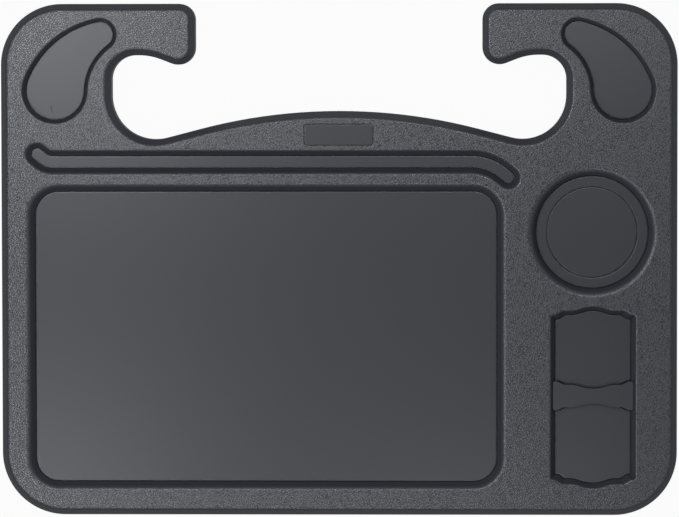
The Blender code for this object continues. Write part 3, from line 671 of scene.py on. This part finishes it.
def front_shell():
    """The grained front: skirt with a tongue, sloping edge, recesses with pans, and screw bosses."""
    tongue_in = (SHELL_WALL + CLEARANCE) / 2
    tongue_z = SPLIT_HEIGHT - TONGUE_DEPTH
    foot_z = SPLIT_HEIGHT + CLEARANCE
    edge = wall_profile(EDGE_DROP, EDGE_RUN, EDGE_RIM)
    levels = [(tongue_in, tongue_z), (tongue_in, foot_z), (0.0, foot_z)]
    levels += [(EDGE_RUN - across, FACE_Z - down) for across, down in reversed(edge)]
    shell = stack("shell_front", tray_outline, levels)
    hollow = stack("hollow_front", tray_outline, [
        (SHELL_WALL, min(tongue_z, BOSS_Z) - OVERRUN),
        (SHELL_WALL, FACE_Z - EDGE_DROP),
        (EDGE_RUN + CLEARANCE, FACE_Z - SHELL_WALL),
    ])
    cup_well, cup_pan = cup_tools()
    keeps = [cup_pan]
    cuts = [cup_well]
    for name, outline, depth, run, rim, seat in recess_table():
        keeps.append(stack(name + "_pan", outline, pan_levels(depth, run, seat)))
        cuts.append(stack(name + "_cut", outline, recess_levels(depth, run, rim, seat)))
    badge_levels = [(0.0, FACE_Z - BADGE_THICK - CLEARANCE), (0.0, FACE_Z + OVERRUN)]
    cuts.append(stack("badge_cut", badge_outline, badge_levels))
    boss_low = BOSS_Z + CLEARANCE
    for index, place in enumerate(screw_places()):
        keeps.append(post(f"boss_{index}", place, BOSS_R, boss_low, FACE_Z))
        cuts.append(post(f"pilot_{index}", place, HOLE_R, boss_low - OVERRUN, SCREW_TOP_Z + CLEARANCE))
    carve(hollow, keeps)
    return carve(shell, [hollow] + cuts)


def rib_lines(reach, pitch):
    """Evenly spaced places across a width, centred, none nearer its ends than half a pitch."""
    count = max(1, round(2 * reach / pitch) - 1)
    return [(index - (count - 1) / 2) * pitch for index in range(count)]


def back_shell():
    """The grained back: flat face, round edge, rebate for the tongue, ribs and screw bosses."""
    levels = []
    for step in range(FILLET_STEPS + 1):
        angle = math.pi / 2 * step / FILLET_STEPS
        levels.append((BACK_FILLET * (1 - math.sin(angle)), BACK_FILLET * (1 - math.cos(angle))))
    shell = stack("shell_back", tray_outline, levels + [(0.0, SPLIT_HEIGHT)])
    rebate_in = (SHELL_WALL - CLEARANCE) / 2
    rebate_z = SPLIT_HEIGHT - TONGUE_DEPTH - CLEARANCE
    hollow = stack("hollow_back", tray_outline, [
        (SHELL_WALL, SHELL_WALL),
        (SHELL_WALL, rebate_z),
        (rebate_in, rebate_z),
        (rebate_in, SPLIT_HEIGHT + OVERRUN),
    ])
    low = SHELL_WALL / 2
    rib_z = min(BOSS_Z, rebate_z) - RIB_DROP
    keeps = []
    for index, x in enumerate(rib_lines(SIDE_X, RIB_PITCH)):
        size = (RIB_THICK, TRAY_HEIGHT, rib_z - low)
        keeps.append(block(f"upright_{index}", (x, 0.0, (low + rib_z) / 2), size))
    cross_z = rib_z - RIB_DROP
    for index, y in enumerate(rib_lines(TOP_Y, RIB_PITCH)):
        size = (TRAY_WIDTH, RIB_THICK, cross_z - low)
        keeps.append(block(f"cross_{index}", (0.0, y, (low + cross_z) / 2), size))
    hole_profile = [
        (0.0, BOSS_Z + OVERRUN),
        (HOLE_R, BOSS_Z + OVERRUN),
        (HOLE_R, COUNTERBORE_Z),
        (COUNTERBORE_R, COUNTERBORE_Z),
        (COUNTERBORE_R, -OVERRUN),
        (0.0, -OVERRUN),
    ]
    holes = []
    for index, place in enumerate(screw_places()):
        keeps.append(post(f"boss_{index}", place, BOSS_R, low, BOSS_Z))
        holes.append(turned(f"hole_{index}", hole_profile, place, BOSS_STEPS))
    carve(hollow, keeps)
    return carve(shell, [hollow] + holes)


def crown_edge():
    """The (inset, drop) pairs of a shallow crowned edge, from its foot to the flat top."""
    pairs = []
    for step in range(CROWN_STEPS + 1):
        angle = math.pi / 2 * step / CROWN_STEPS
        pairs.append((CROWN_RUN * (1 - math.cos(angle)), CROWN_DROP * (1 - math.sin(angle))))
    return pairs


def plate(name, outline, inset, top, thick):
    """A flat plate with a crowned front edge."""
    levels = [(inset, top - thick)]
    levels += [(inset + across, top - drop) for across, drop in crown_edge()]
    return stack(name, outline, levels)


def liner(name, outline, run, depth, thick=INLAY_THICK):
    """A plate that lies at the foot of a recess, inside its walls' run."""
    return plate(name, outline, run + CLEARANCE, FACE_Z - depth, thick)


def gate_outline(inset):
    """The slim oval of the moulding gate's witness mark, in the left hook's well."""
    points = []
    for step in range(GATE_STEPS):
        angle = math.tau * step / GATE_STEPS
        along = (GATE_LENGTH / 2 - inset) * math.sin(angle)
        across = (GATE_WIDTH / 2 - inset) * math.cos(angle)
        x = GATE_X + across * math.cos(GATE_LEAN) - along * math.sin(GATE_LEAN)
        points.append((x, GATE_Y + across * math.sin(GATE_LEAN) + along * math.cos(GATE_LEAN)))
    return points


def left_hook_inlay():
    """The left hook's inlay, with the low bead that the moulding gate left on it."""
    floor = FACE_Z - WELL_DEPTH
    bead = stack("gate_mark", gate_outline, [
        (0.0, floor - GATE_HEIGHT),
        (0.0, floor),
        (GATE_WIDTH / 6, floor + GATE_HEIGHT * GATE_SHOULDER_SHARE),
        (GATE_WIDTH / 3, floor + GATE_HEIGHT),
    ])
    return carve(liner("inlay_hook_left", well_outline, WELL_RUN, WELL_DEPTH), [bead], "UNION")


def bridge():
    """The bridge between the pockets, with soft long edges."""
    side = POCKET_RUN + CLEARANCE
    floor = FACE_Z - POCKET_DEPTH
    top = FACE_Z - BRIDGE_DEPTH
    wall = wall_profile(POCKET_DEPTH, POCKET_RUN, POCKET_RIM)
    wall_run = POCKET_RUN - wall[-2][0]
    wall_drop = POCKET_DEPTH - wall[-2][1]
    top_in = side - wall_run * (POCKET_DEPTH - BRIDGE_DEPTH) / wall_drop
    return stack("bridge_pockets", bridge_outline, [
        (side, floor - INLAY_THICK),
        (side, floor),
        (top_in, top),
    ])


def cup_ring():
    """The ring on the cup well's ledge."""
    top = FACE_Z - CUP_RING_DEPTH
    outer_r = CUP_R - CUP_RUN - CLEARANCE
    inner_r = CUP_DISC_WIDTH / 2 + CUP_LINE
    profile = [(outer_r - across, top - drop) for across, drop in reversed(crown_edge())]
    profile += [(outer_r, top - INLAY_THICK), (inner_r, top - INLAY_THICK)]
    profile += [(inner_r + across, top - drop) for across, drop in crown_edge()]
    return turned("ring_cup", profile, (CUP_X, CUP_Y), CUP_STEPS, closed=True)


def cup_disc():
    """The disc in the cup well's bore."""
    top = FACE_Z - CUP_DISC_DEPTH
    disc_r = CUP_DISC_WIDTH / 2
    profile = [(0.0, top)] + [(disc_r - across, top - drop) for across, drop in reversed(crown_edge())]
    profile += [(disc_r, top - INLAY_THICK), (0.0, top - INLAY_THICK)]
    return turned("disc_cup", profile, (CUP_X, CUP_Y), CUP_STEPS)


def screw(name, place):
    """A self-tapping screw with a round-edged head and a cross recess, seen in its counterbore."""
    seat = COUNTERBORE_Z - CLEARANCE
    profile = [(0.0, SCREW_TOP_Z), (SCREW_R, SCREW_TOP_Z - SCREW_TIP)]
    profile += [(SCREW_R, seat), (SCREW_HEAD_R, seat)]
    for step in range(FILLET_STEPS + 1):
        angle = math.pi / 2 * step / FILLET_STEPS
        radius = SCREW_HEAD_R - SCREW_HEAD_EDGE * (1 - math.cos(angle))
        profile.append((radius, HEAD_SINK + SCREW_HEAD_EDGE * (1 - math.sin(angle))))
    profile.append((0.0, HEAD_SINK))
    body = turned(name, profile, place, SCREW_STEPS)
    middle = (place[0], place[1], HEAD_SINK)
    return carve(body, [
        block("slot_across", middle, (CROSS_LENGTH, CROSS_WIDTH, 2 * CROSS_DEPTH)),
        block("slot_along", middle, (CROSS_WIDTH, CROSS_LENGTH, 2 * CROSS_DEPTH)),
    ])


# Finishes: colours and sheen
# The face colour is the wall colour darkened with painted shade of the grain's pits: one plastic in a
# shaded and a plain copy
FACE_COLOUR_PAINTED_SHADE = (0.0150, 0.0162, 0.0208)
WALL_COLOUR = (0.0345, 0.0367, 0.0450)
INLAY_COLOUR = (0.0170, 0.0183, 0.0235)
BADGE_COLOUR = (0.0135, 0.0145, 0.0185)
SCREW_COLOUR = (0.0350, 0.0350, 0.0370)
SHELL_ROUGHNESS = 0.35
INLAY_ROUGHNESS = 0.36
BADGE_ROUGHNESS = 0.38
SCREW_ROUGHNESS = 0.4
SHELL_IOR = 1.635
INLAY_IOR = 1.56

# Clouds in the colours: their size and how far they change the colour
SHELL_CLOUDS = (0.03, 0.03)
INLAY_CLOUDS = (0.05, 0.02)
SCREW_CLOUDS = (0.002, 0.2)
CLOUD_EDGES = (0.3, 0.7)
CLOUD_DETAIL = 4.0

# Pebble grain of the mould; its lattice is turned so that no rows show on the face
GRAIN_SIZE = 0.00116
GRAIN_TURN = (0.62, 0.41, 0.83)
GRAIN_DISORDER = 0.85
GRAIN_DEPTH = 0.00004
GRAIN_GROOVE = 0.25
WOBBLES_PER_PEBBLE = 0.6
WOBBLE_SHARE = 0.0006
FINE_DETAIL = 2.0

# Sheen of the grain, which fades into the plain walls as a face's normal leaves the upright
DULL_PEBBLE = 0.72
SHINY_PEBBLE = 0.90
GROOVE_GLOSS = 0.30
WALL_GLOSS = 0.35
GRAIN_FADE_LOW = 0.72
GRAIN_FADE_HIGH = 0.97

# Faint flow pattern of the smooth plastic
FLOW_SIZE = 0.0004
FLOW_DEPTH = 0.00002
FLOW_STRENGTH = 0.25


def opaque(colour):
    """A colour with full alpha, as the node sockets want it."""
    return (*colour, 1.0)


def fill(tree, node, inputs):
    """Gives each of a node's inputs a value, or links it to another node's output."""
    for key, value in inputs.items():
        if isinstance(value, bpy.types.NodeSocket):
            tree.links.new(value, node.inputs[key])
        else:
            node.inputs[key].default_value = value


def add_node(tree, kind, inputs, **settings):
    """A new shader node with its settings made and its inputs filled."""
    node = tree.nodes.new("ShaderNode" + kind)
    for key, value in settings.items():
        setattr(node, key, value)
    fill(tree, node, inputs)
    return node


def maths(tree, operation, *terms):
    """The result of a Math node, held between 0 and 1."""
    node = add_node(tree, "Math", dict(enumerate(terms)), operation=operation, use_clamp=True)
    return node.outputs["Value"]


def start_material(name):
    """A new node material with its tree, its Principled shader and the piece's own coordinates."""
    material = bpy.data.materials.new(name)
    material.use_nodes = True
    tree = material.node_tree
    return material, tree, tree.nodes["Principled BSDF"], add_node(tree, "TexCoord", {})


def cloudy(tree, coordinates, colour, clouds):
    """A faint cloudy variation of one colour."""
    size, spread = clouds
    noise = add_node(tree, "TexNoise", {
        "Vector": coordinates.outputs["Object"],
        "Scale": 1 / size,
        "Detail": CLOUD_DETAIL,
    })
    ramp = add_node(tree, "ValToRGB", {"Fac": noise.outputs["Fac"]})
    stops = ramp.color_ramp.elements
    for stop, position, share in zip(stops, CLOUD_EDGES, (1 - spread, 1 + spread)):
        stop.position = position
        stop.color = opaque([part * share for part in colour])
    return ramp.outputs["Color"]


def flat_share(tree, coordinates):
    """1 on faces that lie flat, 0 on walls and round rims, which the mould's grain leaves bare; it also
    blends the flat faces' painted shade into the walls' plain colour.
    """
    split = add_node(tree, "SeparateXYZ", {"Vector": coordinates.outputs["Normal"]})
    share = add_node(tree, "MapRange", {
        "Value": maths(tree, "ABSOLUTE", split.outputs["Z"]),
        "From Min": GRAIN_FADE_LOW,
        "From Max": GRAIN_FADE_HIGH,
    }, interpolation_type="SMOOTHSTEP")
    return share.outputs["Result"]


def pebbles(tree, coordinates):
    """The grain's height, from 0 in a groove to 1 on a pebble, and each pebble's own chance value."""
    lattice = add_node(tree, "Mapping", {
        "Vector": coordinates.outputs["Object"],
        "Rotation": GRAIN_TURN,
    })
    wobble = add_node(tree, "TexNoise", {
        "Vector": lattice.outputs["Vector"],
        "Scale": WOBBLES_PER_PEBBLE / GRAIN_SIZE,
        "Detail": FINE_DETAIL,
    })
    place = add_node(tree, "Mix", {
        "Factor": WOBBLE_SHARE,
        "A": lattice.outputs["Vector"],
        "B": wobble.outputs["Color"],
    }, data_type="VECTOR")
    cells = {
        "Vector": place.outputs["Result"],
        "Scale": 1 / GRAIN_SIZE,
        "Randomness": GRAIN_DISORDER,
    }
    edges = add_node(tree, "TexVoronoi", cells, feature="DISTANCE_TO_EDGE")
    tops = add_node(tree, "TexVoronoi", cells)
    height = add_node(tree, "MapRange", {
        "Value": edges.outputs["Distance"],
        "From Max": GRAIN_GROOVE,
    }, interpolation_type="SMOOTHSTEP")
    chance = add_node(tree, "SeparateColor", {"Color": tops.outputs["Color"]})
    return height.outputs["Result"], chance.outputs["Red"]


def grained_plastic():
    """Black plastic: flat faces have a pebble grain with shiny tops and a darker colour that paints the
    grain's shade, walls are plain.
    """
    material, tree, shader, coordinates = start_material("grained_plastic")
    flat = flat_share(tree, coordinates)
    height, chance = pebbles(tree, coordinates)
    bump = add_node(tree, "Bump", {"Height": height, "Strength": flat, "Distance": GRAIN_DEPTH})
    shine = add_node(tree, "MapRange", {"Value": chance, "To Min": DULL_PEBBLE, "To Max": SHINY_PEBBLE})
    sheen = add_node(tree, "MapRange", {
        "Value": height,
        "To Min": GROOVE_GLOSS,
        "To Max": shine.outputs["Result"],
    })
    gloss = add_node(tree, "Mix", {"Factor": flat, "A": WALL_GLOSS, "B": sheen.outputs["Result"]})
    # Painted shade: flat faces take the darker face colour for the grain's pits, walls and rims the plain
    # wall colour
    colour = add_node(tree, "Mix", {
        "Factor": flat,
        "A": opaque(WALL_COLOUR),
        "B": cloudy(tree, coordinates, FACE_COLOUR_PAINTED_SHADE, SHELL_CLOUDS),
    }, data_type="RGBA")
    fill(tree, shader, {
        "Base Color": colour.outputs["Result"],
        "Roughness": SHELL_ROUGHNESS,
        "IOR": SHELL_IOR,
        "Specular IOR Level": gloss.outputs["Result"],
        "Normal": bump.outputs["Normal"],
    })
    return material


def smooth_plastic(name, colour, roughness):
    """Smooth satin black plastic with a very faint flow pattern."""
    material, tree, shader, coordinates = start_material(name)
    flow = add_node(tree, "TexNoise", {
        "Vector": coordinates.outputs["Object"],
        "Scale": 1 / FLOW_SIZE,
        "Detail": FINE_DETAIL,
    })
    bump = add_node(tree, "Bump", {
        "Height": flow.outputs["Fac"],
        "Strength": FLOW_STRENGTH,
        "Distance": FLOW_DEPTH,
    })
    fill(tree, shader, {
        "Base Color": cloudy(tree, coordinates, colour, INLAY_CLOUDS),
        "Roughness": roughness,
        "IOR": INLAY_IOR,
        "Normal": bump.outputs["Normal"],
    })
    return material


def black_zinc():
    """The screws' dark plated steel."""
    material, tree, shader, coordinates = start_material("black_zinc")
    fill(tree, shader, {
        "Base Color": cloudy(tree, coordinates, SCREW_COLOUR, SCREW_CLOUDS),
        "Metallic": 1.0,
        "Roughness": SCREW_ROUGHNESS,
    })
    return material


GRAINED = grained_plastic()
SMOOTH = smooth_plastic("smooth_plastic", INLAY_COLOUR, INLAY_ROUGHNESS)
BADGE = smooth_plastic("badge_plastic", BADGE_COLOUR, BADGE_ROUGHNESS)
ZINC = black_zinc()


def dress(thing, material, slot, *nodes):
    """Shades a piece smoothly, gives it its finish and lets it stand for its CAD nodes."""
    mesh = thing.data
    mesh.materials.clear()
    mesh.materials.append(material)
    mesh.shade_smooth()
    mesh.set_sharp_from_angle(angle=SMOOTH_ANGLE)
    weighted = thing.modifiers.new("weighted", "WEIGHTED_NORMAL")
    weighted.keep_sharp = True
    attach(thing, "root")
    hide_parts(*nodes)


def dress_inlay(thing, node):
    """Dresses one of the smooth inlays."""
    dress(thing, SMOOTH, "smooth_inlay", node)


dress(front_shell(), GRAINED, "grained_shell", "front_shell")
dress(back_shell(), GRAINED, "grained_shell", "back_shell")
dress_inlay(liner("panel_main", main_outline, MAIN_RUN, MAIN_DEPTH, PANEL_THICK), "main_panel")
dress_inlay(liner("liner_groove", groove_outline, GROOVE_RUN, GROOVE_DEPTH), "pen_groove_liner")
dress_inlay(left_hook_inlay(), "left_hook_inlay")
dress_inlay(liner("inlay_hook_right", right_well_outline, WELL_RUN, WELL_DEPTH), "right_hook_inlay")
BADGE_PIECE = plate("plate_badge", badge_outline, BADGE_LINE, FACE_Z, BADGE_THICK)
dress(BADGE_PIECE, BADGE, "badge", "badge_plate")
UPPER_LINER = liner("liner_pocket_upper", upper_pocket_outline, POCKET_RUN, POCKET_DEPTH)
dress_inlay(UPPER_LINER, "upper_pocket_liner")
LOWER_LINER = liner("liner_pocket_lower", lower_pocket_outline, POCKET_RUN, POCKET_DEPTH)
dress_inlay(LOWER_LINER, "lower_pocket_liner")
dress_inlay(bridge(), "pocket_bridge")
dress_inlay(cup_ring(), "cup_ring")
dress_inlay(cup_disc(), "cup_disc")
for number, spot in enumerate(screw_places(), start=1):
    dress(screw(f"fastener_{number:02d}", spot), ZINC, "screw", f"screw_{number:02d}")

# Camera: a long lens, a little off the tray's axis
CAMERA_DISTANCE = 2.70
CAMERA_ABOVE = math.radians(2.7)
CAMERA_RIGHT = math.radians(1.5)
CAMERA_ROLL = math.radians(-0.08)
VIEW_WIDTH = 0.42714
AIM = Vector((0.0004, 0.0008, 0.017))
SENSOR = 36.0

# Floor and surround; the glows are shares of white
FLOOR_REACH = 4.0
FLOOR_DROP = 0.0004
FLOOR_COLOUR = (0.25, 0.25, 0.25)
FLOOR_ROUGHNESS = 0.9
FLOOR_GLOW = 0.96
SKY_GLOW = 1.0
MIRRORED_GLOW = 0.17
WHITE = (1.0, 1.0, 1.0, 1.0)

# The surround's level by height, from 0 at the horizon to 1 overhead: dim, with a paler band
SURROUND_DIM = 0.08
SURROUND_BAND = 0.54
SURROUND_STOPS = (
    (0.35, SURROUND_DIM),
    (0.55, SURROUND_BAND),
    (0.84, SURROUND_BAND),
    (0.95, SURROUND_DIM),
)

# Lamps: name, place, size and power
LAMP_COLOUR = (0.975, 0.990, 1.025)
LAMPS = (
    ("softbox_top_left", (-0.26, 0.20, 0.70), 0.20, 1.48),
    ("softbox_bottom_left", (-0.28, -0.26, 0.70), 0.20, 0.97),
    ("softbox_top", (0.12, 0.28, 0.70), 0.20, 0.72),
    ("softbox_bottom", (0.08, -0.34, 0.70), 0.20, 0.58),
    ("softbox_top_right", (0.35, 0.42, 1.10), 0.35, 0.70),
)


def white_share(tree, glow):
    """How far a backdrop turns white: to its glow for the camera, faintly in mirrors and glass."""
    path = add_node(tree, "LightPath", {}).outputs
    mirrored = maths(tree, "ADD", path["Is Glossy Ray"], path["Is Transmission Ray"])
    faint = maths(tree, "MULTIPLY", mirrored, MIRRORED_GLOW / glow)
    seen = maths(tree, "ADD", faint, path["Is Camera Ray"])
    return maths(tree, "MULTIPLY", seen, glow)


def studio_floor():
    """A grey floor that looks white to the camera and keeps the tray's soft shadow."""
    shape = bmesh.new()
    bmesh.ops.create_grid(shape, x_segments=1, y_segments=1, size=FLOOR_REACH)
    bmesh.ops.translate(shape, vec=(0.0, 0.0, -FLOOR_DROP), verts=shape.verts)
    floor = new_piece("studio_floor", shape)
    material, tree, shader, _ = start_material("studio_floor")
    fill(tree, shader, {"Base Color": opaque(FLOOR_COLOUR), "Roughness": FLOOR_ROUGHNESS})
    white = add_node(tree, "Emission", {"Color": WHITE})
    blend = add_node(tree, "MixShader", {
        "Fac": white_share(tree, FLOOR_GLOW),
        1: shader.outputs["BSDF"],
        2: white.outputs["Emission"],
    })
    fill(tree, tree.nodes["Material Output"], {"Surface": blend.outputs["Shader"]})
    floor.data.materials.append(material)


def studio_world():
    """A dim surround with a paler band of wall; the camera sees it white."""
    world = bpy.data.worlds.new("studio")
    bpy.context.scene.world = world
    world.use_nodes = True
    tree = world.node_tree
    direction = add_node(tree, "TexCoord", {})
    split = add_node(tree, "SeparateXYZ", {"Vector": direction.outputs["Generated"]})
    ramp = add_node(tree, "ValToRGB", {"Fac": split.outputs["Z"]})
    stops = ramp.color_ramp.elements
    while len(stops) < len(SURROUND_STOPS):
        stops.new(1.0)
    for stop, (height, level) in zip(stops, SURROUND_STOPS):
        stop.position = height
        stop.color = opaque([level * part for part in LAMP_COLOUR])
    surround = tree.nodes["Background"]
    fill(tree, surround, {"Color": ramp.outputs["Color"], "Strength": 1.0})
    white = add_node(tree, "Background", {"Color": WHITE})
    blend = add_node(tree, "MixShader", {
        "Fac": white_share(tree, SKY_GLOW),
        1: surround.outputs["Background"],
        2: white.outputs["Background"],
    })
    fill(tree, tree.nodes["World Output"], {"Surface": blend.outputs["Shader"]})


def studio_camera():
    """A long lens almost straight above the tray."""
    lens = bpy.data.cameras.new("camera")
    lens.sensor_width = SENSOR
    lens.lens = SENSOR * CAMERA_DISTANCE / VIEW_WIDTH
    camera = bpy.data.objects.new("camera", lens)
    camera.rotation_euler = (-CAMERA_ABOVE, CAMERA_RIGHT, CAMERA_ROLL)
    away = camera.rotation_euler.to_matrix() @ Vector((0.0, 0.0, 1.0))
    camera.location = AIM + away * CAMERA_DISTANCE
    bpy.context.scene.collection.objects.link(camera)
    bpy.context.scene.camera = camera


def area_light(name, place, size, power):
    """A square softbox that looks at the tray's middle; the camera sees through it."""
    light = bpy.data.lights.new(name, "AREA")
    light.shape = "SQUARE"
    light.size = size
    light.energy = power
    light.color = LAMP_COLOUR
    lamp = bpy.data.objects.new(name, light)
    lamp.location = place
    lamp.rotation_euler = (-Vector(place)).to_track_quat("-Z", "Y").to_euler()
    lamp.visible_camera = False
    bpy.context.scene.collection.objects.link(lamp)


studio_floor()
studio_world()
studio_camera()
for softbox in LAMPS:
    area_light(*softbox)
bpy.context.scene.view_settings.view_transform = "Standard"
